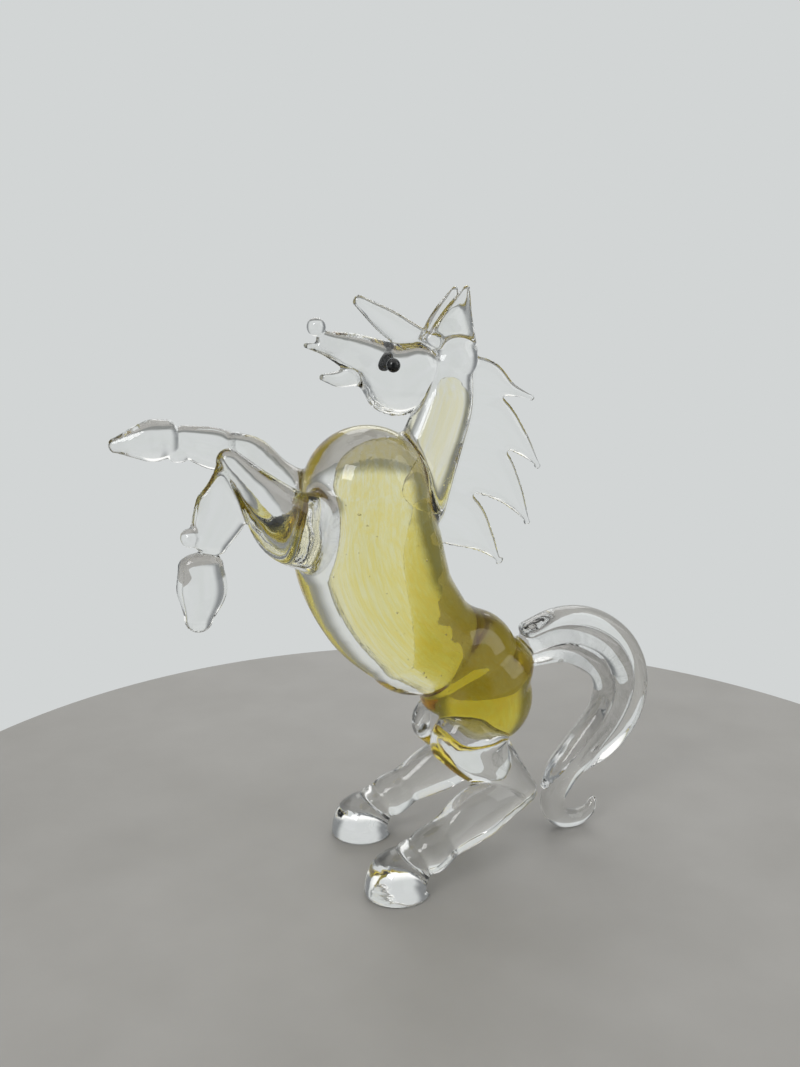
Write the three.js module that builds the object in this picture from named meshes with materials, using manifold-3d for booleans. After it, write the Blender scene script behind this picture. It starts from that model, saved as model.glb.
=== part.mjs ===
// Flame-worked glass figurine of a rearing horse, in millimetres, +Z up, facing -X, its left side on -Y.
// Each piece is one gather of hot glass that was drawn out along a path and pressed more or less flat.
// The pieces are fused in the real figurine, so here each one is cut by its neighbours and a thin gap.
import * as THREE from 'three';
import { mergeVertices } from 'three/addons/utils/BufferGeometryUtils.js';
import Module from 'manifold-3d';

const wasm = await Module();
wasm.setup();

// Driving dimensions.
const jointGap = 0.3; // between two pieces that are fused together
const casingWall = 2.4; // clear glass over the amber core of the body
const neckWall = 2.0; // clear glass over the pale core of the neck
const chestRadius = 15.5; // half the height of the chest ball
const chestDepth = 15; // half the width of the chest ball, across the horse
const loinRadius = 13.5; // half the height of the barrel where it meets the croup
const loinDepth = 12.5;
const croupRadius = 14; // half the length of the croup ball
const croupDepth = 13;
const neckRadius = 7; // half the width of the neck halfway up, seen from the side
const neckDepth = 5.6;
const headLength = 24; // poll to muzzle
const headDepth = 4.4; // half the thickness of the cheek
const eyeRadius = 1.2;
const earLength = 12;
const maneThickness = 0.9; // half the thickness of a mane lock
const stance = 14; // each hind hoof's centre, sideways from the middle
const soleRadius = 7.4; // half the width of a hind hoof
const hindHoofHeight = 8.6;
const cannonRadius = 5; // half the width of a hind cannon
const tailStrand = 2.7; // half the width of a tail strand
const tailReach = 31; // how far the tail stands out behind the croup
const legReach = 32.6; // how far the fore hooves reach out in front of the chest

// Where the main pieces sit.
const chest = [-9.8, 0, 83.6];
const croup = [16.6, 0, 42];
const poll = [10.2, 0, 114.6];
const withers = [1, 0, 90];
const tailRoot = [30, 0, 49.5];
const groundDepth = 30; // how far below the ground the cutting block reaches
const groundWidth = 300;

const clearGlass = { color: 0xeef3f2, roughness: 0.03, metalness: 0 };
const amberGlass = { color: 0xe3b21c, roughness: 0.05, metalness: 0 };
const paleGlass = { color: 0xece9b4, roughness: 0.05, metalness: 0 };
const blackGlass = { color: 0x0b0b0c, roughness: 0.08, metalness: 0 };

const add = (point, x, y, z) => [point[0] + x, point[1] + y, point[2] + z];

// A solid that can be joined and cut, from any closed geometry.
function solidFrom(geometry) {
  const bare = geometry.clone();
  bare.deleteAttribute('normal');
  bare.deleteAttribute('uv');
  const merged = mergeVertices(bare, 1e-4);
  const corners = [];
  const index = merged.index.array;
  for (let i = 0; i < index.length; i += 3) {
    const [a, b, c] = [index[i], index[i + 1], index[i + 2]];
    if (a !== b && b !== c && c !== a) corners.push(a, b, c);
  }
  return new wasm.Manifold(new wasm.Mesh({
    numProp: 3,
    vertProperties: new Float32Array(merged.attributes.position.array),
    triVerts: new Uint32Array(corners),
  }));
}

function geometryFrom(solid) {
  const mesh = solid.getMesh();
  const geometry = new THREE.BufferGeometry();
  geometry.setAttribute('position', new THREE.BufferAttribute(mesh.vertProperties, 3));
  geometry.setIndex(new THREE.BufferAttribute(mesh.triVerts, 1));
  geometry.computeVertexNormals();
  return geometry;
}

// A gather of glass drawn along a path: an elliptical section with rounded ends.
// wide is the half width in the plane of the path, deep is the half thickness across the horse.
function gather({ path, wide, deep, sides = 12, rows = 9, endRows = 3 }, grow = 0) {
  const line = new THREE.CatmullRomCurve3(path.map((p) => new THREE.Vector3(...p)));
  const size = new THREE.CatmullRomCurve3(wide.map((w, i) => new THREE.Vector3(w, deep[i], 0)));
  const profile = [];
  for (let i = 0; i <= endRows; i += 1) {
    const turn = (i / endRows) * Math.PI / 2;
    profile.push(new THREE.Vector2(i ? Math.sin(turn) : 0, -Math.cos(turn)));
  }
  for (let i = 1; i < rows; i += 1) profile.push(new THREE.Vector2(1, i / rows));
  for (let i = endRows; i >= 0; i -= 1) {
    const turn = (i / endRows) * Math.PI / 2;
    profile.push(new THREE.Vector2(i ? Math.sin(turn) : 0, 1 + Math.cos(turn)));
  }
  const geometry = new THREE.LatheGeometry(profile, sides);
  const place = geometry.attributes.position;
  const vertex = new THREE.Vector3();
  for (let i = 0; i < place.count; i += 1) {
    vertex.fromBufferAttribute(place, i);
    const along = THREE.MathUtils.clamp(vertex.y, 0, 1);
    const centre = line.getPoint(along);
    const ahead = line.getTangent(along);
    const section = size.getPoint(along);
    const up = new THREE.Vector3(0, 1, 0).cross(ahead).normalize();
    const side = up.clone().cross(ahead);
    const endLength = Math.min(section.x, section.y) + grow;
    centre.addScaledVector(ahead, (vertex.y - along) * endLength);
    centre.addScaledVector(up, vertex.x * (section.x + grow));
    centre.addScaledVector(side, vertex.z * (section.y + grow));
    place.setXYZ(i, centre.x, centre.y, centre.z);
  }
  return solidFrom(geometry);
}

function bead(centre, radius, stretch, grow = 0, sides = 10) {
  const ball = new THREE.SphereGeometry(1, sides, Math.round(sides * 0.7));
  ball.scale(radius * stretch[0] + grow, radius * stretch[1] + grow, radius * stretch[2] + grow);
  ball.rotateX(Math.PI / 2);
  ball.translate(...centre);
  return solidFrom(ball);
}

const ground = () => {
  const block = new THREE.BoxGeometry(groundWidth, groundWidth, groundDepth);
  block.translate(0, 0, -groundDepth / 2);
  return solidFrom(block);
};

// Every piece: its shape at any growth, the pieces that cut into it, its glass.
const pieces = new Map();
const define = (name, shape, cutBy, glass) => pieces.set(name, { shape, cutBy, glass });
const drawn = (stroke) => (grow) => gather(stroke, grow);

// Body: a chest that runs into the loins, and a croup ball behind it.
const barrel = {
  path: [add(chest, 0.4, 0, 4), add(chest, 0.4, 0, -9), add(chest, 4.6, 0, -21), add(chest, 12, 0, -30.6)],
  wide: [chestRadius - 1.6, chestRadius + 0.8, chestRadius, loinRadius],
  deep: [chestDepth - 1.6, chestDepth, chestDepth - 0.6, loinDepth],
  sides: 14,
  rows: 7,
  endRows: 3,
};
const croupBall = {
  path: [add(croup, -2.2, 0, 5), croup, add(croup, 1.8, 0, -4.6)],
  wide: [croupRadius - 2.4, croupRadius, croupRadius - 2.6],
  deep: [croupDepth - 1.6, croupDepth, croupDepth - 1.4],
  sides: 12,
  rows: 5,
};
const coreShape = (grow) => gather({ ...barrel, sides: 12, rows: 5 }, grow - casingWall)
  .add(gather({ ...croupBall, sides: 10, rows: 4 }, grow - casingWall));
define('amber_core', coreShape, [], amberGlass);
define('barrel_casing', drawn(barrel), ['amber_core'], clearGlass);
define('croup_casing', drawn(croupBall), ['amber_core', 'barrel_casing'], clearGlass);

// Neck: a clear gather over a pale core.
const neck = {
  path: [add(withers, -1.4, 0, -5), add(withers, 3.6, 0, 5.4), add(withers, 7, 0, 15), add(poll, -1, 0, -1)],
  wide: [neckRadius + 2, neckRadius, neckRadius - 0.8, neckRadius - 2.2],
  deep: [neckDepth + 1.6, neckDepth, neckDepth - 0.6, neckDepth - 1.6],
  sides: 12,
  rows: 6,
};
const neckCore = { ...neck, sides: 8, path: [...neck.path.slice(0, 3), add(poll, -2, 0, -6)] };
define('neck_core', (grow) => gather(neckCore, grow - neckWall), ['barrel_casing', 'head'], paleGlass);
define('neck_casing', drawn(neck), ['neck_core', 'barrel_casing', 'head', 'poll_knob'], clearGlass);

// Head: a flat pear of glass with the eyes let into its cheeks, the muzzle on the left.
const muzzle = add(poll, -headLength - 5, 0, 5.2);
const cheek = add(poll, -13, 0, -3.9);
const onNose = (share, rise) => {
  const [x, y, z] = cheek.map((c, k) => THREE.MathUtils.lerp(c, muzzle[k], share));
  return [x, y, z + rise];
};
const head = {
  path: [add(poll, -7.4, 0, -1.8), cheek, onNose(0.35, 0.5), onNose(0.66, -0.1), add(muzzle, 0.6, 0, -1.2)],
  wide: [5.4, 8, 4.9, 3.7, 2],
  deep: [headDepth - 0.6, headDepth, headDepth - 0.8, headDepth - 1.6, 1.8],
  sides: 12,
  rows: 8,
};
const eyeSpot = (side) => add(cheek, -1.8, side * (headDepth - 0.5), 3.5);
define('left_eye', (grow) => bead(eyeSpot(-1), eyeRadius, [1, 1, 1], grow), [], blackGlass);
define('right_eye', (grow) => bead(eyeSpot(1), eyeRadius, [1, 1, 1], grow), [], blackGlass);
define('head', drawn(head), ['left_eye', 'right_eye', 'nose_bead'], clearGlass);
define('nose_bead', (grow) => bead(add(muzzle, -1.6, 0, 1.2), 1.5, [1, 1, 1.3], grow), [], clearGlass);
const upperLip = {
  path: [add(muzzle, 4.4, 0, -4.6), add(muzzle, 0.4, 0, -3), add(muzzle, -3.4, 0, -2.2)],
  wide: [1.7, 1.2, 0.5],
  deep: [1.8, 1.5, 0.8],
  sides: 8,
  rows: 5,
  endRows: 2,
};
define('upper_lip', drawn(upperLip), ['head', 'nose_bead'], clearGlass);
const lowerJaw = {
  path: [add(cheek, -6.6, 0, -0.6), add(cheek, -9.4, 0, 0.6), add(cheek, -12.6, 0, 0),
    add(cheek, -16, 0, 0.4)],
  wide: [1.5, 2.1, 1.7, 0.7],
  deep: [1.8, 2.2, 2, 1.2],
  sides: 8,
  rows: 6,
  endRows: 2,
};
define('lower_jaw', drawn(lowerJaw), ['head', 'upper_lip'], clearGlass);
define('poll_knob', (grow) => bead(poll, 4.4, [1.05, 0.85, 1], grow, 12), ['head'], clearGlass);
const ear = (side) => ({
  path: [add(poll, -1.6, side * 2.2, 3), add(poll, -0.4, side * 3, 3 + earLength * 0.5),
    add(poll, 1.4, side * 3.4, 2.6 + earLength)],
  wide: [5.6, 3.4, 0.7],
  deep: [1.6, 1.2, 0.6],
  sides: 10,
  rows: 5,
  endRows: 2,
});
define('left_ear', drawn(ear(-1)), ['head', 'poll_knob'], clearGlass);
define('right_ear', drawn(ear(1)), ['head', 'poll_knob'], clearGlass);
const forelock = {
  path: [add(poll, -10.6, 0, 4.4), add(poll, -15, 0, 8), add(poll, -21.6, 0, 12.2)],
  wide: [4.6, 3, 1.2],
  deep: [1, 0.9, 0.8],
  sides: 8,
  rows: 6,
  endRows: 2,
};
define('forelock', drawn(forelock), ['head', 'left_ear', 'right_ear'], clearGlass);

// Mane: four flat locks that fan out behind the neck.
const lock = (path, wide) => ({
  path: path.map((p) => add(poll, ...p)),
  wide,
  deep: wide.map((w, i) => (i === wide.length - 1 ? 0.7 : maneThickness)),
  sides: 10,
  rows: 7,
  endRows: 2,
});
const locks = [
  lock([[1, 0, -3.6], [8, 0, -4.6], [13.4, 0, -6.8], [18.6, 0, -8.6]], [5, 4.2, 1.6, 0.6]),
  lock([[1, 0, -13.4], [8, 0, -13.6], [15.2, 0, -18], [20.8, 0, -24]], [5.6, 6.4, 3, 0.6]),
  lock([[-1, 0, -22], [7, 0, -23.6], [13.6, 0, -29.4], [18.6, 0, -37]], [5, 6.6, 3.4, 0.6]),
  lock([[-4, 0, -32], [2.6, 0, -36], [7.8, 0, -40.6], [11.6, 0, -45.4]], [7, 6, 2.8, 1.2]),
];
const lockNames = ['mane_lock_top', 'mane_lock_upper', 'mane_lock_lower', 'mane_lock_bottom'];
locks.forEach((stroke, i) => {
  const before = i ? [lockNames[i - 1]] : ['left_ear', 'right_ear'];
  define(lockNames[i], drawn(stroke), ['poll_knob', 'neck_casing', 'barrel_casing', ...before], clearGlass);
});

// Forelegs: the left one is folded under, the right one reaches forward.
const leftForearm = {
  path: [add(chest, -12.4, -7.6, -4), add(chest, -19, -9, -0.8), add(chest, -25.2, -9.4, 6.2),
    add(chest, -30.4, -9.6, 12.4)],
  wide: [8.2, 7.4, 4.4, 2.5],
  deep: [6, 5.4, 3.8, 2.4],
  sides: 12,
  rows: 9,
};
const leftCannon = {
  path: [add(chest, -31, -9.6, 10), add(chest, -31.6, -9.6, 4), add(chest, -legReach - 2.6, -9.6, -3.6)],
  wide: [2.4, 5.4, 4],
  deep: [2, 1.8, 2],
  sides: 10,
  rows: 7,
};
const leftHoof = {
  path: [add(chest, -legReach - 4, -9.6, -8), add(chest, -legReach - 4, -9.6, -13.4),
    add(chest, -legReach - 4.8, -9.6, -18.6)],
  wide: [4.4, 4.9, 2.4],
  deep: [2.6, 3.2, 2],
  sides: 12,
  rows: 6,
};
const rightForearm = {
  path: [add(chest, -10, 7.8, -0.6), add(chest, -17, 8.4, 6), add(chest, -21.8, 8.6, 11.6),
    add(chest, -26, 8.8, 13.2)],
  wide: [6.4, 3.8, 2.9, 2.6],
  deep: [6, 4.4, 3, 2.2],
  sides: 12,
  rows: 8,
};
const rightCannon = {
  path: [add(chest, -26, 8.8, 11.4), add(chest, -31.4, 9, 12.8), add(chest, -legReach - 4.8, 9, 14.8)],
  wide: [4.2, 4.4, 3],
  deep: [2, 1.8, 1.8],
  sides: 10,
  rows: 7,
};
const rightHoof = {
  path: [add(chest, -legReach - 7.4, 9, 15), add(chest, -legReach - 11.4, 9, 14.6),
    add(chest, -legReach - 18, 9, 14)],
  wide: [4, 4.3, 1.6],
  deep: [2.6, 3.2, 1.4],
  sides: 12,
  rows: 6,
};
define('left_forearm', drawn(leftForearm), ['barrel_casing'], clearGlass);
define('left_fore_cannon', drawn(leftCannon), ['left_forearm', 'left_fore_hoof'], clearGlass);
define('left_fore_hoof', drawn(leftHoof), [], clearGlass);
define('left_fetlock_bead', (grow) => bead(add(chest, -legReach - 5.8, -9.6, -2.4), 1.9, [1, 1, 1.2], grow),
  ['left_fore_cannon', 'left_fore_hoof'], clearGlass);
define('right_forearm', drawn(rightForearm), ['barrel_casing'], clearGlass);
define('right_fore_cannon', drawn(rightCannon), ['right_forearm', 'right_fore_hoof'], clearGlass);
define('right_fore_hoof', drawn(rightHoof), [], clearGlass);
define('right_fetlock_bead', (grow) => bead(add(chest, -legReach - 5.4, 9, 11.6), 1.7, [1.3, 1, 1], grow),
  ['right_fore_cannon', 'right_fore_hoof'], clearGlass);

// Hind legs: thigh, cannon, a pinched pastern and a hoof with a flat sole, alike on both sides.
for (const [name, side] of [['left', -1], ['right', 1]]) {
  const spot = (x, y, z) => [x, side * y, z];
  const thigh = {
    path: [spot(10.4, 6.4, 31.6), spot(15.4, 8, 26), spot(24, 10.6, 17.6)],
    wide: [8, 7, 3.4],
    deep: [5.8, 5.2, 3.4],
    sides: 12,
    rows: 7,
  };
  const cannon = {
    path: [spot(21.6, stance - 3.2, 16.6), spot(13, stance - 1.6, 15), spot(4.6, stance - 0.4, 10.8)],
    wide: [4, cannonRadius + 1.4, cannonRadius - 0.2],
    deep: [3.6, cannonRadius - 0.4, cannonRadius - 0.6],
    sides: 12,
    rows: 7,
  };
  const pastern = {
    path: [spot(1.8, stance - 0.2, 9.2), spot(0.4, stance, 8.4)],
    wide: [cannonRadius, cannonRadius + 0.2],
    deep: [cannonRadius, cannonRadius],
    sides: 10,
    rows: 2,
  };
  const hoof = {
    path: [spot(-7.4, stance, -1), spot(-6.6, stance, hindHoofHeight * 0.36),
      spot(-3.6, stance, hindHoofHeight * 0.74)],
    wide: [soleRadius, soleRadius - 0.4, soleRadius - 2.6],
    deep: [soleRadius, soleRadius - 0.4, soleRadius - 2.6],
    sides: 14,
    rows: 5,
  };
  const onGround = (grow) => (grow ? gather(hoof, grow) : gather(hoof).subtract(ground()));
  define(`${name}_thigh`, drawn(thigh), ['barrel_casing', 'croup_casing'], clearGlass);
  define(`${name}_hind_cannon`, drawn(cannon), [`${name}_thigh`], clearGlass);
  define(`${name}_hind_hoof`, onGround, [`${name}_hind_cannon`], clearGlass);
  define(`${name}_pastern`, drawn(pastern), [`${name}_hind_cannon`, `${name}_hind_hoof`], clearGlass);
}

// Tail: three strands side by side, and the middle one curls up where it rests on the ground.
const tail = (points) => points.map(([x, z]) => add(tailRoot, x * tailReach / 31, 0, z));
const strandDepth = (count, last) => Array.from({ length: count }, (_, i) => (i === count - 1 ? last : 3.2));
const middleStrand = {
  path: tail([[-1, -1], [8, 1.2], [15.6, -0.6], [21.6, -4.4], [25, -10], [25, -16], [22, -22.4], [16.4, -29],
    [10.8, -35.4], [7.4, -41], [8.8, -45.8], [13.4, -47.4], [17.4, -46], [18.6, -43.6]]),
  wide: [2.6, 2.7, 2.7, 2.7, 2.7, 2.7, 2.7, 2.7, 2.9, 3, 2.7, 2.2, 1.5, 0.9],
  deep: strandDepth(14, 1).map((d, i) => (i > 9 ? Math.min(d, [2.8, 2.4, 1.6, 1][i - 10]) : d)),
  sides: 8,
  rows: 20,
};
const outerStrand = {
  path: tail([[-0.6, 2.6], [6.4, 4.8], [13.4, 4.6], [20, 2], [25.6, -3], [29, -10], [29.2, -17.4],
    [26.4, -24], [20.8, -30], [13.6, -35]]),
  wide: [1.8, 2.2, 2.4, 2.4, 2.4, 2.4, 2.4, 2.4, 2, 1.2],
  deep: strandDepth(10, 1.4),
  sides: 8,
  rows: 14,
};
const innerStrand = {
  path: tail([[-0.6, -4.6], [8, -4], [14.4, -6.2], [18.8, -10], [20.4, -15], [18.6, -20.4], [14, -26.4],
    [8.8, -32.2], [5.2, -37.4]]),
  wide: [1.8, 2.2, 2.3, 2.3, 2.3, 2.3, 2.2, 1.8, 1],
  deep: strandDepth(9, 1.4),
  sides: 8,
  rows: 13,
};
const scaled = (stroke) => ({ ...stroke, wide: stroke.wide.map((w) => w * tailStrand / 2.7) });
const tailCurl = (grow) => (grow ? gather(scaled(middleStrand), grow)
  : gather(scaled(middleStrand)).subtract(ground()));
define('tail_middle_strand', tailCurl, ['croup_casing'], clearGlass);
define('tail_outer_strand', drawn(scaled(outerStrand)), ['croup_casing', 'tail_middle_strand'], clearGlass);
define('tail_inner_strand', drawn(scaled(innerStrand)), ['croup_casing', 'tail_middle_strand'], clearGlass);

const figurine = new THREE.Group();
for (const [name, { shape, cutBy, glass }] of pieces) {
  let solid = shape(0);
  for (const other of cutBy) solid = solid.subtract(pieces.get(other).shape(jointGap));
  const mesh = new THREE.Mesh(geometryFrom(solid), new THREE.MeshStandardMaterial(glass));
  mesh.name = name;
  figurine.add(mesh);
}

// The origin is the middle of the whole figurine's box, on the ground.
const whole = new THREE.Box3().setFromObject(figurine);
const middle = whole.getCenter(new THREE.Vector3());
figurine.position.set(-middle.x, -middle.y, -whole.min.z);

export default figurine;
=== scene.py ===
import math
import bmesh
import bpy
import numpy as np
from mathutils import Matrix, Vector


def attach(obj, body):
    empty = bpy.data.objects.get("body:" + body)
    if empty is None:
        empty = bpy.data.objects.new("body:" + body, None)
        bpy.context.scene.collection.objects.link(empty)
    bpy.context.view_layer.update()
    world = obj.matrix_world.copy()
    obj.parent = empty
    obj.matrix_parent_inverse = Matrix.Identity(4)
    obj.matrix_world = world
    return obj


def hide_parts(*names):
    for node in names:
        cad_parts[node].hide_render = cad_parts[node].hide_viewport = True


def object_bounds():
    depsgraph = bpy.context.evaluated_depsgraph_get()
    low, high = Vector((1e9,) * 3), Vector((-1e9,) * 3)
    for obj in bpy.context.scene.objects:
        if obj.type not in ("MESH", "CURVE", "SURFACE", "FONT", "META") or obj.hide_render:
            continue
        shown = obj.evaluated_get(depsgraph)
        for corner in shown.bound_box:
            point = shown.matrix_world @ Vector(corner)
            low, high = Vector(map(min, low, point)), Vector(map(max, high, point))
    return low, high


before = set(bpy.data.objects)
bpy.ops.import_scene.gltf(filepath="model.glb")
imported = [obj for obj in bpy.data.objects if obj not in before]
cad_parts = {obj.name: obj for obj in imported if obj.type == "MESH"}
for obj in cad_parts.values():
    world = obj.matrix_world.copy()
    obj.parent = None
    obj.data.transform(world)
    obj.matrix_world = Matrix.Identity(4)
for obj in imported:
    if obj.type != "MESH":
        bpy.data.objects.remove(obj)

import openvdb
from mathutils import Vector

cadLow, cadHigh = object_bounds()
print("frame loaded, box in mm", [round((h - l) * 1000, 1) for l, h in zip(cadLow, cadHigh)])

# The figurine stands on the middle of its box. Every place below is in mm from there.
mm = 0.001
standPoint = np.array([(cadLow[0] + cadHigh[0]) / 2, (cadLow[1] + cadHigh[1]) / 2, cadLow[2]])


def spot(anchor, x, y, z):
    return (anchor[0] + x, anchor[1] + y, anchor[2] + z)


# Each piece of the figurine is a gather of hot glass, drawn out along a path. "wide" and "deep" are its half
# widths in mm at the path's points, "melt" is how far in mm it runs into what it touches, "tips" is how blunt
# its two ends are. It is worked out as a field, in mm, that is negative inside the glass.

def curveThrough(points, count):
    # a Catmull-Rom curve through the points, the ends carried straight on
    pts = np.array(points, float)
    pad = np.vstack([2 * pts[0] - pts[1], pts, 2 * pts[-1] - pts[-2]])
    u = np.linspace(0, len(pts) - 1 - 1e-9, count)
    i = u.astype(int)
    t = (u - i)[:, None]
    p0, p1, p2, p3 = pad[i], pad[i + 1], pad[i + 2], pad[i + 3]
    return 0.5 * (2 * p1 + (p2 - p0) * t + (2 * p0 - 5 * p1 + 4 * p2 - p3) * t * t
                  + (3 * p1 - p0 - 3 * p2 + p3) * t ** 3)


def prepare(gather):
    # samples along the path: centre, direction, the two section axes and the half widths
    path = gather["path"]
    length = sum(math.dist(a, b) for a, b in zip(path, path[1:]))
    count = int(min(90, max(14, length / 0.8)))    # one each 0.8 mm
    centre = curveThrough(path, count)
    size = curveThrough(np.column_stack([gather["wide"], gather["deep"]]), count)
    along = np.gradient(centre, axis=0)
    along /= np.linalg.norm(along, axis=1, keepdims=True)
    across = np.array(gather.get("across", (0, 1, 0)), float)    # the direction that "deep" is measured in
    up = np.cross(np.broadcast_to(across, along.shape), along)
    up /= np.linalg.norm(up, axis=1, keepdims=True)
    side = np.cross(up, along)
    size = np.maximum(size, 0.15)
    tip = np.array([min(size[0]), min(size[-1])]) * np.array(gather.get("tips", (1, 1)))
    reach = size.max() + 2.5    # with room for the melt
    low = centre.min(axis=0) - reach
    high = centre.max(axis=0) + reach
    return dict(centre=centre, along=along, up=up, side=side, size=size, tip=tip, low=low, high=high,
                melt=gather.get("melt", 1), length=length)


def gatherField(g, p):
    # signed distance, nearly, from points p to one gather, and how far along it they lie
    out = np.empty(len(p))
    place = np.empty(len(p))
    c0 = g["centre"][:-1]
    e = g["centre"][1:] - c0
    ee = (e * e).sum(axis=1)
    c0e = (c0 * e).sum(axis=1)
    cc = (c0 * c0).sum(axis=1)
    block = 60000    # points at a time, to spare memory
    for s in range(0, len(p), block):
        q = p[s:s + block]
        raw = (q @ e.T - c0e) / ee
        t = raw.clip(0, 1)
        d = (q * q).sum(axis=1)[:, None] - 2 * (q @ c0.T) + cc - 2 * t * raw * ee + t * t * ee
        i = d.argmin(axis=1)
        row = np.arange(len(q))
        t = t[row, i][:, None]
        mix = lambda a: a[i] * (1 - t) + a[i + 1] * t
        r = q - mix(g["centre"])
        size = mix(g["size"])
        a = (r * mix(g["along"])).sum(axis=1)
        b = (r * mix(g["up"])).sum(axis=1)
        c = (r * mix(g["side"])).sum(axis=1)
        tip = np.where(i < len(e) / 2, g["tip"][0], g["tip"][1])
        w, dp = size[:, 0], size[:, 1]
        rho = np.sqrt((b / w) ** 2 + (c / dp) ** 2 + (a / tip) ** 2)
        slope = np.sqrt((b / w ** 2) ** 2 + (c / dp ** 2) ** 2 + (a / tip ** 2) ** 2)
        out[s:s + block] = np.where(rho < 1e-3, -np.minimum(w, dp), rho * (rho - 1) / np.maximum(slope, 1e-9))
        place[s:s + block] = (i + t[:, 0]) / len(e)
    return out, place


def melted(a, b, radius):
    # two fields run together with a soft fillet
    h = np.maximum(radius - np.abs(a - b), 0) / radius
    return np.minimum(a, b) - h * h * radius / 4


far = 6.0           # what the field says well outside the glass
groundMelt = 0.7    # how round the rim of a sole is


def fusedField(gathers, p, ground):
    # all the gathers together; those that stand on the ground are pressed flat by it
    f = np.full(len(p), far)
    for g in gathers:
        near = np.all((p > g["low"]) & (p < g["high"]), axis=1)
        if near.any():
            f[near] = melted(f[near], np.minimum(gatherField(g, p[near])[0], far), g["melt"])
    if ground:
        f = -melted(-f, p[:, 2], groundMelt)
    return f


def slopeOf(field, p, step=0.12):
    # the direction in which the field grows fastest, which is straight out of the glass
    n = np.empty_like(p)
    for k in range(3):
        d = np.zeros(3)
        d[k] = step
        n[:, k] = field(p + d) - field(p - d)
    return n / np.maximum(np.linalg.norm(n, axis=1, keepdims=True), 1e-9)


def surfaceOf(gathers, voxel, ground=True):
    # the smooth skin round all the gathers: points, triangles and normals, in mm
    low = np.min([g["low"] for g in gathers], axis=0) - voxel
    high = np.max([g["high"] for g in gathers], axis=0) + voxel
    shape = np.ceil((high - low) / voxel).astype(int) + 1
    grid = np.full(shape, far, np.float32)
    for g in gathers:
        a = np.floor((g["low"] - low) / voxel).astype(int).clip(0)
        b = np.minimum(np.ceil((g["high"] - low) / voxel).astype(int) + 1, shape)
        axes = [low[k] + voxel * np.arange(a[k], b[k]) for k in range(3)]
        p = np.stack(np.meshgrid(*axes, indexing="ij"), -1).reshape(-1, 3)
        f = np.minimum(gatherField(g, p)[0], far).reshape(b - a)
        window = grid[a[0]:b[0], a[1]:b[1], a[2]:b[2]]
        window[:] = melted(window, f, g["melt"])
    if ground:
        z = low[2] + voxel * np.arange(shape[2])
        grid = -melted(-grid, z[None, None, :].astype(np.float32), groundMelt)
    vdb = openvdb.FloatGrid(far)
    vdb.copyFromArray(grid)
    points, tris, quads = vdb.convertToPolygons(0.0)
    points = low + voxel * np.asarray(points, float)
    faces = [np.asarray(tris, int).reshape(-1, 3)]
    quads = np.asarray(quads, int).reshape(-1, 4)
    if len(quads):
        faces += [quads[:, [0, 1, 2]], quads[:, [0, 2, 3]]]
    faces = np.vstack(faces)
    field = lambda p: fusedField(gathers, p, ground)
    edges = np.vstack([faces[:, [0, 1]], faces[:, [1, 2]], faces[:, [2, 0]]])
    for turn in range(3):    # even out the triangles, and put the points back on the surface each time
        if turn:
            total = np.zeros_like(points)
            count = np.zeros(len(points))
            np.add.at(total, edges[:, 0], points[edges[:, 1]])
            np.add.at(count, edges[:, 0], 1)
            points = points * 0.4 + 0.6 * total / count[:, None]
        n = slopeOf(field, points)
        points = points - n * field(points)[:, None].clip(-voxel, voxel)
    n = slopeOf(field, points)
    for turn in range(4):    # calm the normals, because glass shows each unevenness
        total = n * 2
        np.add.at(total, edges[:, 0], n[edges[:, 1]])
        n = total / np.linalg.norm(total, axis=1, keepdims=True)
    area = np.cross(points[faces[:, 1]] - points[faces[:, 0]], points[faces[:, 2]] - points[faces[:, 0]])
    if (area * n[faces[:, 0]]).sum() < 0:
        faces = faces[:, ::-1]
    return points, faces, n


# where the main gathers are
chest = (-9.8, 0, 83.6)
croup = (16.6, 0, 42)
poll = (10.2, 0, 114.6)
withers = (1, 0, 90)
tailRoot = (30, 0, 49.5)
muzzle = spot(poll, -29, 0, 5.2)
cheek = spot(poll, -13, 0, -3.9)
hoofReach = 32.6
stance = 14

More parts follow.
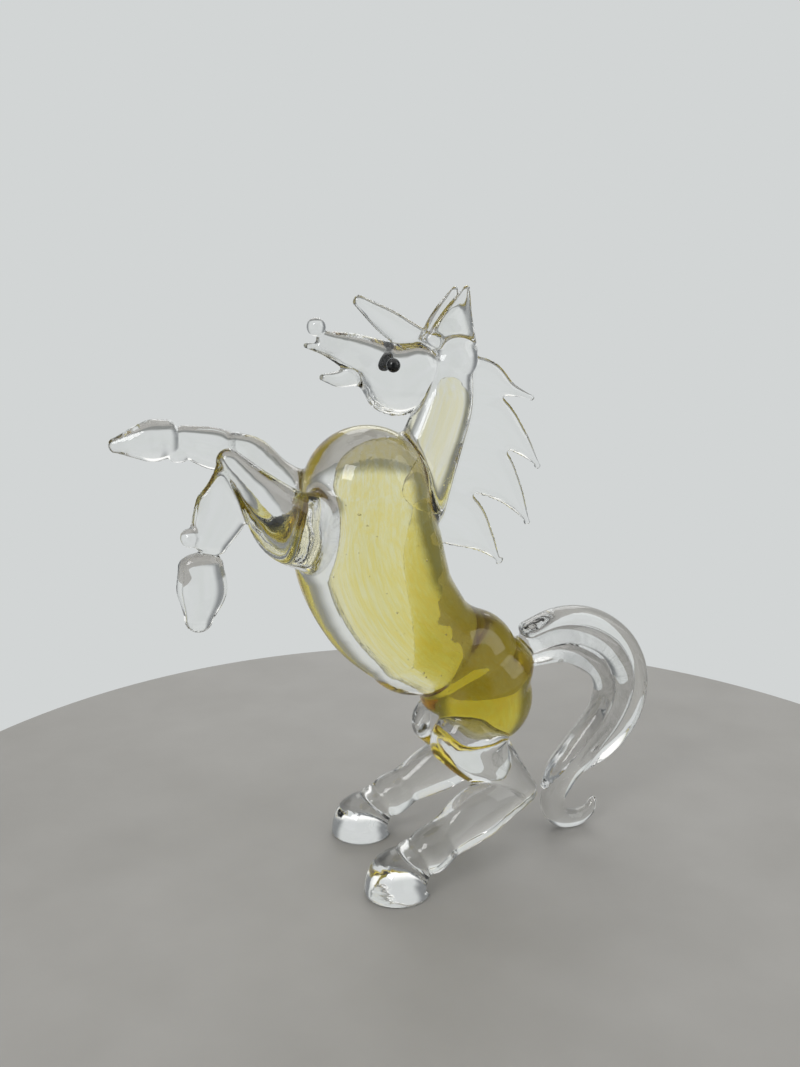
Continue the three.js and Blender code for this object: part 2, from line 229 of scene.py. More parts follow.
# the figurine's clear gathers, each with the size and place of the CAD piece that it stands for
body = {
    "barrel_casing": dict(
        path=[spot(chest, 0.4, 0, 4), spot(chest, 0.4, 0, -9), spot(chest, 4.6, 0, -21),
              spot(chest, 12, 0, -30.6)],
        wide=[13.9, 16.3, 15.5, 13.5], deep=[13.4, 15, 14.4, 12.5], melt=1),
    "croup_casing": dict(
        path=[spot(croup, -2.2, 0, 5), croup, spot(croup, 1.8, 0, -4.6)],
        wide=[11.6, 14, 11.4], deep=[11.4, 13, 11.6], melt=3.5),
    "neck_casing": dict(
        path=[spot(withers, -1.4, 0, -5), spot(withers, 3.6, 0, 5.4), spot(withers, 7, 0, 15),
              spot(poll, -1, 0, -1)],
        wide=[9, 7, 6.2, 4.8], deep=[7.2, 5.6, 5, 4], melt=1.6),
}
headPieces = {
    "head": dict(
        path=[spot(poll, -7.4, 0, -1.8), cheek, spot(muzzle, 10.4, 0, -5.4), spot(muzzle, 5.4, 0, -3.2),
              spot(muzzle, 0.6, 0, -1.2)],
        wide=[5.4, 8, 4.9, 3.7, 2], deep=[3.8, 4.4, 3.6, 2.8, 1.8], melt=0.6),
    "nose_bead": dict(path=[spot(muzzle, -1.2, -0.3, 1.5), spot(muzzle, -1.2, 0.3, 1.5)], wide=[1.9, 1.9],
                      deep=[1.9, 1.9], across=(1, 0, 0), melt=0.3),
    "upper_lip": dict(
        path=[spot(muzzle, 4.4, 0, -4.6), spot(muzzle, 0.4, 0, -3), spot(muzzle, -3.4, 0, -2.2)],
        wide=[1.7, 1.2, 0.5], deep=[1.8, 1.5, 0.8], melt=0.8),
    "lower_jaw": dict(
        path=[spot(cheek, -6.6, 0, -0.6), spot(cheek, -9.4, 0, 0.6), spot(cheek, -12.6, 0, 0),
              spot(cheek, -16, 0, 0.4)],
        wide=[1.5, 2.1, 1.7, 0.7], deep=[1.8, 2.2, 2, 1.2], melt=0.8),
    "poll_knob": dict(path=[spot(poll, 0.4, -1.6, 0), spot(poll, 0.4, 1.6, 0)], wide=[4.5, 4.5],
                      deep=[4.3, 4.3], across=(1, 0, 0), tips=(0.75, 0.75), melt=0.3),
    "left_ear": dict(
        path=[spot(poll, -1.6, -2.2, 3), spot(poll, -0.4, -3, 9), spot(poll, 1.4, -3.4, 14.6)],
        wide=[6.2, 3.5, 0.7], deep=[1.6, 1.2, 0.6], melt=0.6),
    "right_ear": dict(
        path=[spot(poll, -1.6, 2.2, 3), spot(poll, -0.4, 3, 9), spot(poll, 1.4, 3.4, 14.6)],
        wide=[6.2, 3.5, 0.7], deep=[1.6, 1.2, 0.6], melt=0.6),
    "forelock": dict(
        path=[spot(poll, -4.4, 0, 3.4), spot(poll, -10, 0, 4.9), spot(poll, -15, 0, 7.7),
              spot(poll, -21.4, 0, 12.1)],
        wide=[1.6, 2.8, 2.8, 1.2], deep=[1, 1, 0.9, 0.8], melt=0.6),
}

# thin locks that are pinched flat, each with a small bead at its tip
locks = {
    "mane_lock_top": dict(path=[(1, -3.6), (8, -4.6), (13.4, -6.8), (18, -8.4), (18.5, -8.6)],
                          wide=[5, 4.2, 1.6, 0.5, 0.8]),
    "mane_lock_upper": dict(path=[(1, -13.4), (8, -13.6), (15.2, -18), (20.3, -23.4), (20.6, -23.9)],
                            wide=[5.6, 6.4, 3, 0.5, 0.8]),
    "mane_lock_lower": dict(path=[(-1, -22), (7, -23.6), (13.6, -29.4), (18.2, -36.2), (18.4, -36.8)],
                            wide=[5, 6.6, 3.4, 0.5, 0.8]),
    "mane_lock_bottom": dict(path=[(-4, -32), (2.6, -36), (7.8, -40.6), (11, -44.6), (11.5, -45.2)],
                             wide=[7, 6, 2.8, 0.6, 1.1]),
}
manePieces = {}
for name, lock in locks.items():
    manePieces[name] = dict(path=[spot(poll, x, 0, z) for x, z in lock["path"]], wide=lock["wide"],
                            deep=[0.9, 0.9, 0.9, 0.6, 0.9], melt=0.7)
forePieces = {
    "left_forearm": dict(
        path=[spot(chest, -12.4, -7, -4), spot(chest, -19, -9, -0.8), spot(chest, -25.2, -9.4, 6.2),
              spot(chest, -30.4, -9.6, 12.4)],
        wide=[8.2, 7.4, 4.4, 2.5], deep=[5.6, 5.4, 3.8, 2.4], melt=3),
    "left_fore_cannon": dict(
        path=[spot(chest, -31, -9.6, 10), spot(chest, -31.6, -9.6, 4),
              spot(chest, -hoofReach - 2.6, -9.6, -3.6)],
        wide=[2.4, 5.4, 4], deep=[2, 1.8, 2], melt=0.8),
    "left_fore_hoof": dict(
        path=[spot(chest, -hoofReach - 4, -9.6, -8), spot(chest, -hoofReach - 4, -9.6, -13.4),
              spot(chest, -hoofReach - 4.8, -9.6, -18.6)],
        wide=[4.4, 4.9, 2.9], deep=[2.6, 3.2, 2.4], tips=(1, 1.25), melt=0.8),
    "left_fetlock_bead": dict(
        path=[spot(chest, -hoofReach - 5.8, -10.2, -2.4), spot(chest, -hoofReach - 5.8, -9, -2.4)],
        wide=[1.8, 1.8], deep=[1.9, 1.9], across=(1, 0, 0), melt=0.4),
    "right_forearm": dict(
        path=[spot(chest, -10, 7.2, -0.6), spot(chest, -17, 8.4, 6), spot(chest, -21.8, 8.6, 11.6),
              spot(chest, -26, 8.8, 13.2)],
        wide=[6.4, 3.8, 2.9, 2.6], deep=[6, 4.4, 3, 2.2], melt=2.5),
    "right_fore_cannon": dict(
        path=[spot(chest, -26, 8.8, 11.4), spot(chest, -31.4, 9, 12.8),
              spot(chest, -hoofReach - 4.8, 9, 14.8)],
        wide=[4.2, 4.4, 3], deep=[2, 1.8, 1.8], melt=0.8),
    "right_fore_hoof": dict(
        path=[spot(chest, -hoofReach - 7.4, 9, 15), spot(chest, -hoofReach - 11.4, 9, 14.6),
              spot(chest, -hoofReach - 18, 9, 14)],
        wide=[4, 4.3, 1.6], deep=[2.6, 3.2, 1.4], melt=0.5),
    "right_fetlock_bead": dict(
        path=[spot(chest, -hoofReach - 5.9, 9, 11.6), spot(chest, -hoofReach - 4.9, 9, 11.6)],
        wide=[1.7, 1.7], deep=[1.7, 1.7], melt=0.4),
}
hindPieces = {}
for name, side in (("left", -1), ("right", 1)):
    out = side * stance
    hindPieces[name + "_thigh"] = dict(
        path=[(10.4, side * 6.4, 31.6), (15.4, side * 8, 26), (24, side * 10.6, 17.6)],
        wide=[8, 7, 3.4], deep=[5.8, 5.2, 3.4], melt=0.9)
    hindPieces[name + "_hind_cannon"] = dict(
        path=[(21.6, out - side * 3.2, 16.6), (13, out - side * 1.6, 15), (4.6, out - side * 0.4, 10.8)],
        wide=[4, 6.4, 4.8], deep=[3.6, 4.6, 4.4], melt=0.9)
    hindPieces[name + "_hind_hoof"] = dict(
        path=[(-7.4, out, -1), (-6.6, out, 3.1), (-3.6, out, 6.4)],
        wide=[7.4, 7, 4.8], deep=[7.4, 7, 4.8], melt=0.5)
    hindPieces[name + "_pastern"] = dict(
        path=[(1.8, out - side * 0.2, 9.2), (0.4, out, 8.4)],
        wide=[5, 5.2], deep=[5, 5], melt=0.5)


def tailPath(points):
    return [spot(tailRoot, x, 0, z) for x, z in points]


tailPieces = {
    "tail_middle_strand": dict(
        path=tailPath([(-1, -1), (8, 1.2), (15.6, -0.6), (21.6, -4.4), (25, -10), (25, -16), (22, -22.4),
                       (16.4, -29), (10.8, -35.4), (7.4, -41), (8.8, -45.8), (13.4, -47.4), (17.4, -46),
                       (18.6, -43.6)]),
        wide=[2.6, 2.7, 2.7, 2.7, 2.7, 2.7, 2.7, 2.7, 2.9, 3, 2.7, 2.2, 1.5, 0.9],
        deep=[3.2] * 10 + [2.8, 2.4, 1.6, 1], melt=0.8),
    "tail_outer_strand": dict(
        path=tailPath([(-0.6, 2.6), (6.4, 4.8), (13.4, 4.6), (20, 2), (25.6, -3), (29, -10), (29.2, -17.4),
                       (26.4, -24), (20.8, -30), (13.6, -35)]),
        wide=[1.8, 2.2, 2.4, 2.4, 2.4, 2.4, 2.4, 2.4, 2, 1.2], deep=[3.2] * 9 + [1.4], melt=0.7),
    "tail_inner_strand": dict(
        path=tailPath([(-0.6, -4.6), (8, -4), (14.4, -6.2), (18.8, -10), (20.4, -15), (18.6, -20.4),
                       (14, -26.4), (8.8, -32.2), (5.2, -37.4)]),
        wide=[1.8, 2.2, 2.3, 2.3, 2.3, 2.3, 2.2, 1.8, 1], deep=[3.2] * 8 + [1.4], melt=0.7),
}


def splitSkin(points, faces, normals, gathers, names):
    # from one fused skin to separate pieces: each triangle goes to the gather that it belongs to, cut where
    # two gathers meet
    scores = np.full((len(gathers), len(points)), 99.0)
    for k, g in enumerate(gathers):
        near = np.all((points > g["low"]) & (points < g["high"]), axis=1)
        if near.any():
            scores[k][near] = gatherField(g, points[near])[0]
    owner = scores.argmin(axis=0)
    owner = joinIslands(owner, faces, len(names))
    pts, nrm = [points], [normals]
    made = {}
    total = len(points)

    def between(a, b):
        # the point of the edge from a to b where the two gathers are equally near
        nonlocal total
        key = (min(a, b), max(a, b))
        if key not in made:
            i, j = key
            gi = scores[owner[i], i] - scores[owner[j], i]
            gj = scores[owner[i], j] - scores[owner[j], j]
            t = min(max(gi / (gi - gj), 0.08), 0.92) if gi * gj < 0 else 0.5
            n = normals[i] * (1 - t) + normals[j] * t
            pts.append((points[i] * (1 - t) + points[j] * t)[None])
            nrm.append((n / np.linalg.norm(n))[None])
            made[key] = total
            total += 1
        return made[key]

    own = owner[faces]
    same = (own[:, 0] == own[:, 1]) & (own[:, 1] == own[:, 2])
    pieces = {k: [faces[same & (own[:, 0] == k)]] for k in range(len(names))}
    for tri, o in zip(faces[~same], own[~same]):
        a, b, c = tri
        for turn in range(3):
            if o[1] == o[2] and o[0] != o[1]:
                ab, ac = between(a, b), between(a, c)
                pieces[o[0]].append([[a, ab, ac]])
                pieces[o[1]].append([[ab, b, c], [ab, c, ac]])
                break
            a, b, c = b, c, a
            o = (o[1], o[2], o[0])
        else:
            ab, bc, ca = between(a, b), between(b, c), between(c, a)
            n = normals[[a, b, c]].mean(axis=0)
            pts.append(points[[a, b, c]].mean(axis=0)[None])
            nrm.append((n / np.linalg.norm(n))[None])
            mid = total
            total += 1
            pieces[o[0]].append([[a, ab, mid], [a, mid, ca]])
            pieces[o[1]].append([[b, bc, mid], [b, mid, ab]])
            pieces[o[2]].append([[c, ca, mid], [c, mid, bc]])
    points, normals = np.vstack(pts), np.vstack(nrm)
    return points, normals, {names[k]: np.vstack(v).astype(int) for k, v in pieces.items()}


def joinIslands(owner, faces, count, smallest=60):
    # a small patch that lies apart from the rest of its gather goes to what surrounds it
    edges = np.vstack([faces[:, [0, 1]], faces[:, [1, 2]], faces[:, [2, 0]]])
    for turn in range(3):
        root = np.arange(len(owner))
        inner = edges[owner[edges[:, 0]] == owner[edges[:, 1]]]
        while True:
            low = np.minimum(root[inner[:, 0]], root[inner[:, 1]])
            new = root.copy()
            np.minimum.at(new, inner[:, 0], low)
            np.minimum.at(new, inner[:, 1], low)
            new = new[new]
            if (new == root).all():
                break
            root = new
        size = np.bincount(root, minlength=len(owner))[root]
        border = edges[owner[edges[:, 0]] != owner[edges[:, 1]]]
        small = size < smallest
        if not small.any():
            break
        for a, b in np.vstack([border, border[:, ::-1]]):
            if small[a] and not small[b]:
                owner[root == root[a]] = owner[b]
                small[root == root[a]] = False
    return owner


def closedMesh(name, points, normals, faces, skin, cap):
    # the outer skin with its smooth normals, and a cap over each place where it is fused to the next piece
    used, where = np.unique(faces, return_inverse=True)
    faces = where.reshape(-1, 3)
    pts, nrm = points[used], normals[used]
    edge = {}
    for tri in faces:
        edge.update(dict.fromkeys(((tri[0], tri[1]), (tri[1], tri[2]), (tri[2], tri[0]))))
    follow = {}
    for a, b in edge:
        if (b, a) not in edge:
            follow.setdefault(b, []).append(a)
    caps = []
    extra = []
    while follow:
        start = next(iter(follow))
        loop = [start]
        while True:
            nexts = follow[loop[-1]]
            step = nexts.pop()
            if not nexts:
                del follow[loop[-1]]
            if step == start:
                break
            loop.append(step)
        caps.append(loop)
    tris = [tuple(t) for t in faces]
    capTris = []
    for loop in caps:
        # a ring halfway in keeps the cap's triangles even
        middle = pts[loop].mean(axis=0)
        ring = [len(pts) + len(extra) + k for k in range(len(loop))]
        extra.extend((pts[k] + middle) / 2 for k in loop)
        centre = len(pts) + len(extra)
        extra.append(middle)
        for k in range(len(loop)):
            n = (k + 1) % len(loop)
            capTris.append((loop[k], loop[n], ring[n]))
            capTris.append((loop[k], ring[n], ring[k]))
        for k in range(len(ring)):
            capTris.append((ring[k], ring[(k + 1) % len(ring)], centre))
    allPts = np.vstack([pts, extra]) if extra else pts
    me = bpy.data.meshes.new(name)
    me.from_pydata((allPts * mm + standPoint).tolist(), [], tris + capTris)
    me.materials.append(skin)
    if capTris:
        me.materials.append(cap)
    index = np.zeros(len(me.polygons), np.int32)
    index[len(tris):] = 1
    me.polygons.foreach_set("material_index", index)
    me.polygons.foreach_set("use_smooth", np.ones(len(me.polygons), bool))
    me.update()
    loops = np.zeros((len(me.loops), 3), np.float32)
    corner = np.empty(len(me.loops), np.int64)
    me.loops.foreach_get("vertex_index", corner)
    skinLoops = len(tris) * 3
    loops[:skinLoops] = nrm[corner[:skinLoops]]
    if capTris:
        flat = np.empty((len(me.polygons), 3), np.float32)
        me.polygons.foreach_get("normal", flat.ravel())
        loops[skinLoops:] = np.repeat(flat[len(tris):], 3, axis=0)
    me.normals_split_custom_set(loops.tolist())
    obj = bpy.data.objects.new(name, me)
    bpy.context.scene.collection.objects.link(obj)
    return obj


def flowAlong(g, p):
    # where points lie in the straightened gather: mm along it, and mm up and sideways from its middle
    mid = (g["centre"][:-1] + g["centre"][1:]) / 2
    i = np.concatenate([((q[:, None, :] - mid[None]) ** 2).sum(axis=2).argmin(axis=1)
                        for q in np.array_split(p, len(p) // 3000 + 1)])
    r = p - g["centre"][i]
    step = g["length"] / len(mid)
    return np.column_stack([i * step + (r * g["along"][i]).sum(axis=1), (r * g["up"][i]).sum(axis=1),
                            (r * g["side"][i]).sum(axis=1)])


def addFlow(mesh, g):
    # the attribute that the drawn lines in the glass follow
    pts = np.empty((len(mesh.vertices), 3), np.float32)
    mesh.vertices.foreach_get("co", pts.ravel())
    flow = mesh.attributes.new("flow", "FLOAT_VECTOR", "POINT")
    flow.data.foreach_set("vector", flowAlong(g, (pts - standPoint) / mm).astype(np.float32).ravel())


def toLinear(hexColour):
    # sRGB hex to the linear numbers that shaders use
    values = [int(hexColour[k:k + 2], 16) / 255 for k in (1, 3, 5)]
    return tuple(v / 12.92 if v <= 0.04045 else ((v + 0.055) / 1.055) ** 2.4 for v in values) + (1,)


def addNode(tree, kind, inputs=None, **settings):
    # a node with its settings; an input is a value or another node's output
    node = tree.nodes.new(kind)
    for key, value in settings.items():
        setattr(node, key, value)
    for key, value in (inputs or {}).items():
        if isinstance(value, bpy.types.NodeSocket):
            tree.links.new(value, node.inputs[key])
        else:
            node.inputs[key].default_value = value
    return node


def newMaterial(name):
    material = bpy.data.materials.new(name)
    material.use_nodes = True
    material.node_tree.nodes.clear()
    return material, material.node_tree


def glassMaterial(name, glass):
    # lampworked glass: the flame leaves it mirror-smooth, and pulling it leaves faint lines along the pull
    material, tree = newMaterial(name)
    flow = addNode(tree, "ShaderNodeAttribute", attribute_name="flow")
    drawn = addNode(tree, "ShaderNodeMapping", {"Vector": flow.outputs["Vector"],
                    "Scale": (1 / glass["lineLength"], 1 / glass["lineWidth"], 1 / glass["lineWidth"])})
    lines = addNode(tree, "ShaderNodeTexNoise", {"Vector": drawn.outputs["Vector"], "Scale": 1.0,
                    "Detail": 2.0, "Roughness": 0.5, "Distortion": glass.get("twist", 0.0)})
    place = addNode(tree, "ShaderNodeTexCoord")
    wave = addNode(tree, "ShaderNodeTexNoise", {"Vector": place.outputs["Object"],
                   "Scale": 1 / (glass["waveSize"] * mm), "Detail": 1.0})
    height = addNode(tree, "ShaderNodeMath", {0: lines.outputs["Fac"], 1: glass["lineHeight"],
                     2: wave.outputs["Fac"]}, operation="MULTIPLY_ADD")
    bump = addNode(tree, "ShaderNodeBump", {"Height": height.outputs[0], "Strength": 1.0,
                   "Distance": glass["waveHeight"] * mm})
    tint = addNode(tree, "ShaderNodeValToRGB", {"Fac": lines.outputs["Fac"]})
    tint.color_ramp.elements[0].position = 0.38
    tint.color_ramp.elements[0].color = toLinear(glass["tint"][0])
    tint.color_ramp.elements[1].position = 0.62
    tint.color_ramp.elements[1].color = toLinear(glass["tint"][1])
    shader = addNode(tree, "ShaderNodeBsdfPrincipled", {
        "Base Color": tint.outputs["Color"], "Roughness": glass["roughness"], "IOR": glass["ior"],
        "Transmission Weight": 1.0, "Normal": bump.outputs["Normal"]})
    out = addNode(tree, "ShaderNodeOutputMaterial", {"Surface": shader.outputs["BSDF"]})
    if "stain" in glass:
        stain = addNode(tree, "ShaderNodeVolumeAbsorption", {"Color": toLinear(glass["stain"]),
                        "Density": glass["strength"]})
        tree.links.new(stain.outputs["Volume"], out.inputs["Volume"])
    return material


def fusedContactMaterial():
    # where two gathers are melted into each other the light passes straight on, with no edge to see
    material, tree = newMaterial("fused contact")
    shader = addNode(tree, "ShaderNodeBsdfPrincipled", {
        "Base Color": (1, 1, 1, 1), "Roughness": 0.0, "IOR": 1.0, "Transmission Weight": 1.0})
    addNode(tree, "ShaderNodeOutputMaterial", {"Surface": shader.outputs["BSDF"]})
    return material


# Glass finishes. Sizes are in mm: "wave" is the slow unevenness that the flame leaves, and "line" is the
# drawn lines along the pull, whose height is a share of the wave's. The first tint is for the lines, the
# second for the glass between them.
clearGlass = dict(
    tint=("#FCFDFB", "#FFFFFF"), roughness=0, ior=1.5,
    waveSize=7, waveHeight=0.1, lineLength=14, lineWidth=1.6, lineHeight=0.25)
casingGlass = dict(
    tint=("#FCFDFB", "#FFFFFF"), roughness=0, ior=1.5,
    waveSize=8, waveHeight=0.08, lineLength=18, lineWidth=1.1, lineHeight=0.25)
# stained glass that is fused inside clear glass: its ior is what is left between the two, and the stain's
# strength is per metre of glass
amberGlass = dict(
    tint=("#FFF6C8", "#FFFFFF"), roughness=0, ior=1.02, stain="#FAF47C", strength=52,
    waveSize=5, waveHeight=0.3, lineLength=16, lineWidth=0.6, lineHeight=1, twist=0.8)
# painted shade: a stain darker than the glass's own, standing for a dark table seen through the glass
paintedShadeAmberGlass = dict(
    tint=("#FFF9D8", "#FFFFFF"), roughness=0, ior=1.015, stain="#E5DE20", strength=112,
    waveSize=5, waveHeight=0.06, lineLength=16, lineWidth=0.6, lineHeight=0.2, twist=0.8)
strawGlass = dict(
    tint=("#FFFBE0", "#FFFFFF"), roughness=0, ior=1.02, stain="#FDF3B0", strength=45,
    waveSize=5, waveHeight=0.2, lineLength=16, lineWidth=0.8, lineHeight=1)

fusedContact = fusedContactMaterial()
skins = {
    "clear_glass": glassMaterial("fire-polished clear glass", clearGlass),
    "casing_glass": glassMaterial("clear casing glass", casingGlass),
    "amber_glass": glassMaterial("amber stained glass", amberGlass),
    "straw_glass": glassMaterial("straw stained glass", strawGlass),
}
# painted shade: this darker amber stands for a dark table seen through the glass
paintedShadeAmberMaterial = glassMaterial("deep amber stained glass", paintedShadeAmberGlass)
print("glass materials made")

# the outer glass: one skin, then a closed piece for each gather
allPieces = {**body, **headPieces, **manePieces, **forePieces, **hindPieces, **tailPieces}
names = list(allPieces)
gathers = [prepare(allPieces[name]) for name in names]
skinDetail = 0.45    # mm between the skin's points
points, faces, normals = surfaceOf(gathers, skinDetail)
points, normals, parts = splitSkin(points, faces, normals, gathers, names)
print("outer glass shaped:", len(points), "points")
for name, gather in zip(names, gathers):
    slotName = "casing_glass" if name.endswith("_casing") else "clear_glass"
    piece = closedMesh("glass_" + name, points, normals, parts[name], skins[slotName], fusedContact)
    addFlow(piece.data, gather)
    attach(piece, "root")
    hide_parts(name)
print("outer glass split into", len(names), "pieces")


def core(name, parts, spine, node, skin):
    # stained glass inside a casing, its lines drawn along the spine
    points, faces, normals = surfaceOf([prepare(part) for part in parts], skinDetail, ground=False)
    piece = closedMesh(name, points, normals, faces, skin, fusedContact)
    addFlow(piece.data, prepare(spine))
    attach(piece, "root")
    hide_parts(node)
    return piece


# The casing magnifies its core by half, so a core is slimmer than it looks. It keeps to the spine, which
# leaves the belly clear.
amberCore = {
    "barrel": dict(path=[spot(chest, 3, 0, 6), spot(chest, 3.6, 0, -2), spot(chest, 4.4, 0, -10),
                         spot(chest, 7.8, 0, -19.6), spot(chest, 14.4, 0, -29)],
                   wide=[7.6, 10, 11, 10.6, 9.8], deep=[5, 7, 8.4, 9.4, 9.8], melt=1),
    "croup": dict(path=[spot(croup, -1.6, 0, 4.8), croup, spot(croup, 1.6, 0, -4.2)],
                  wide=[10, 12.8, 10.4], deep=[10, 11.8, 10.4], melt=4),
}
# Painted shade: a darker amber in a narrow band under the spine and in all the croup, standing for the dark
# table that would be seen through the glass there. It makes up for the pale table: over a dark one, lower its
# strength towards the core's.
amberPaintedShade = {
    "barrel": dict(path=[spot(chest, 9, 0, -1), spot(chest, 9.8, 0, -11), spot(chest, 13, 0, -21),
                         spot(chest, 18, 0, -29.4)],
                   wide=[2, 4, 5.4, 8.6], deep=[2, 4, 6, 9], melt=1),
    "croup": dict(path=[spot(croup, -1.2, 0, 4.2), croup, spot(croup, 1.4, 0, -3.4)],
                  wide=[9, 12, 9.8], deep=[9.4, 11.2, 9.8], melt=4),
}
strawCore = {
    "neck": dict(path=[spot(withers, 0, 0, -4), spot(withers, 4.8, 0, 5.4), spot(withers, 8.2, 0, 15),
                       spot(poll, -1.2, 0, -6)],
                 wide=[5.4, 3.7, 3.2, 2.2], deep=[4.6, 3.4, 3, 2], melt=1),
}
spine = dict(path=body["barrel_casing"]["path"] + [croup, spot(croup, 3, 0, -12)],
             wide=[12] * 6, deep=[12] * 6)
amberPiece = core("glass_amber_core", amberCore.values(), spine, "amber_core",
                  skins["amber_glass"])
# painted shade: a darker amber piece under the spine and in the croup, standing for a dark table seen through
# the glass
core("glass_amber_painted_shade", amberPaintedShade.values(), spine, "amber_core", paintedShadeAmberMaterial)
core("glass_neck_core", strawCore.values(), strawCore["neck"], "neck_core",
     skins["straw_glass"])
print("cores set inside the casings")


def blackGlassMaterial():
    # black glass bead: deep and glossy, with the faint haze that a flame leaves
    material, tree = newMaterial("black bead glass")
    place = addNode(tree, "ShaderNodeTexCoord")
    haze = addNode(tree, "ShaderNodeTexNoise", {"Vector": place.outputs["Object"],
                   "Scale": 1 / (eye["hazeSize"] * mm)})
    rough = addNode(tree, "ShaderNodeMapRange", {"Value": haze.outputs["Fac"], "To Min": eye["roughness"][0],
                    "To Max": eye["roughness"][1]})
    shader = addNode(tree, "ShaderNodeBsdfPrincipled", {
        "Base Color": toLinear(eye["colour"]), "Roughness": rough.outputs["Result"], "IOR": 1.5})
    addNode(tree, "ShaderNodeOutputMaterial", {"Surface": shader.outputs["BSDF"]})
    return material


# two beads pressed into the cheeks
eye = dict(radius=1.5, apart=6.8, back=-1.8, up=2.8, colour="#08090B", roughness=(0.03, 0.09), hazeSize=0.5)
blackGlass = blackGlassMaterial()
for name, side in (("left_eye", -1), ("right_eye", 1)):
    bm = bmesh.new()
    bmesh.ops.create_icosphere(bm, subdivisions=4, radius=eye["radius"] * mm)
    at = Vector(spot(cheek, eye["back"], side * eye["apart"] / 2, eye["up"])) * mm + Vector(standPoint)
    for v in bm.verts:
        v.co += at
    me = bpy.data.meshes.new("bead_" + name)
    bm.to_mesh(me)
    bm.free()
    me.shade_smooth()
    me.materials.append(blackGlass)
    obj = bpy.data.objects.new("bead_" + name, me)
    bpy.context.scene.collection.objects.link(obj)
    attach(obj, "root")
    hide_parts(name)
print("eyes set")

# seeds are tiny air bubbles caught where the casing was gathered over the amber core; two larger ones were
# drawn out with the tail
seeds = dict(perSquareMm=0.012, radius=0.16, smallest=0.5, largest=1.5, seed=7)
longBubbles = [dict(at=spot(tailRoot, 22.3, -0.4, -13.2), length=2.6, width=0.55, lean=(0.25, 0, -1)),
               dict(at=spot(tailRoot, 7.4, -0.3, -5.2), length=1.3, width=0.45, lean=(1, 0, 0.1))]


def airMaterial():
    # air inside glass: a bright bead with a dark rim, because the light bends the other way
    material, tree = newMaterial("air bubble")
    place = addNode(tree, "ShaderNodeTexCoord")
    dimples = addNode(tree, "ShaderNodeTexNoise", {"Vector": place.outputs["Object"],
                      "Scale": 1 / (0.3 * mm)})
    bump = addNode(tree, "ShaderNodeBump", {"Height": dimples.outputs["Fac"], "Strength": 0.3,
                   "Distance": 0.01 * mm})
    shader = addNode(tree, "ShaderNodeBsdfPrincipled", {
        "Base Color": (1, 1, 1, 1), "Roughness": 0.0, "IOR": 0.667, "Transmission Weight": 1.0,
        "Normal": bump.outputs["Normal"]})
    addNode(tree, "ShaderNodeOutputMaterial", {"Surface": shader.outputs["BSDF"]})
    return material


def seedTree(material):
    # bubbles of mixed sizes scattered over the surface that the tree is given
    tree = bpy.data.node_groups.new("seed bubbles", "GeometryNodeTree")
    face = tree.interface
    face.new_socket("Geometry", in_out="INPUT", socket_type="NodeSocketGeometry")
    for label in ("Density", "Radius", "Smallest", "Largest"):
        face.new_socket(label, in_out="INPUT", socket_type="NodeSocketFloat")
    face.new_socket("Geometry", in_out="OUTPUT", socket_type="NodeSocketGeometry")
    given = addNode(tree, "NodeGroupInput")
    points = addNode(tree, "GeometryNodeDistributePointsOnFaces", {
        "Mesh": given.outputs["Geometry"], "Density": given.outputs["Density"], "Seed": seeds["seed"]})
    ball = addNode(tree, "GeometryNodeMeshIcoSphere", {"Radius": given.outputs["Radius"], "Subdivisions": 3})
    size = addNode(tree, "FunctionNodeRandomValue", {
        2: given.outputs["Smallest"], 3: given.outputs["Largest"], "Seed": seeds["seed"]})
    placed = addNode(tree, "GeometryNodeInstanceOnPoints", {
        "Points": points.outputs["Points"], "Instance": ball.outputs["Mesh"], "Scale": size.outputs[1]})
    real = addNode(tree, "GeometryNodeRealizeInstances", {"Geometry": placed.outputs["Instances"]})
    smooth = addNode(tree, "GeometryNodeSetShadeSmooth", {0: real.outputs["Geometry"]})
    finish = addNode(tree, "GeometryNodeSetMaterial", {"Geometry": smooth.outputs[0], "Material": material})
    addNode(tree, "NodeGroupOutput", {"Geometry": finish.outputs["Geometry"]})
    return tree


def setInput(modifier, label, value):
    # an input of the tree is set by its identifier
    for item in modifier.node_group.interface.items_tree:
        if item.name == label and item.in_out == "INPUT":
            modifier[item.identifier] = value


host = bpy.data.objects.new("seed_host", amberPiece.data)    # carries the tree, and goes away again
bpy.context.scene.collection.objects.link(host)
scatter = host.modifiers.new("seeds", "NODES")
scatter.node_group = seedTree(airMaterial())
for label, value in (("Density", seeds["perSquareMm"] / mm ** 2), ("Radius", seeds["radius"] * mm),
                     ("Smallest", seeds["smallest"]), ("Largest", seeds["largest"])):
    setInput(scatter, label, value)
bubbleMesh = bpy.data.meshes.new_from_object(host.evaluated_get(bpy.context.evaluated_depsgraph_get()))
host.modifiers.remove(scatter)
bpy.data.objects.remove(host)
bm = bmesh.new()
bm.from_mesh(bubbleMesh)
for bubble in longBubbles:
    made = bmesh.ops.create_icosphere(bm, subdivisions=4, radius=mm)
    turned = Vector(bubble["lean"]).to_track_quat("Z", "Y")
    for v in made["verts"]:
        drawn = Vector((v.co.x * bubble["width"], v.co.y * bubble["width"], v.co.z * bubble["length"]))
        v.co = turned @ drawn + Vector(bubble["at"]) * mm + Vector(standPoint)
for f in bm.faces:
    f.smooth = True
bm.to_mesh(bubbleMesh)
bm.free()
bubbleMesh.name = "air_bubbles"
bubbles = bpy.data.objects.new("air_bubbles", bubbleMesh)
bpy.context.scene.collection.objects.link(bubbles)
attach(bubbles, "root")
print("air bubbles set:", len(bubbleMesh.vertices), "points")


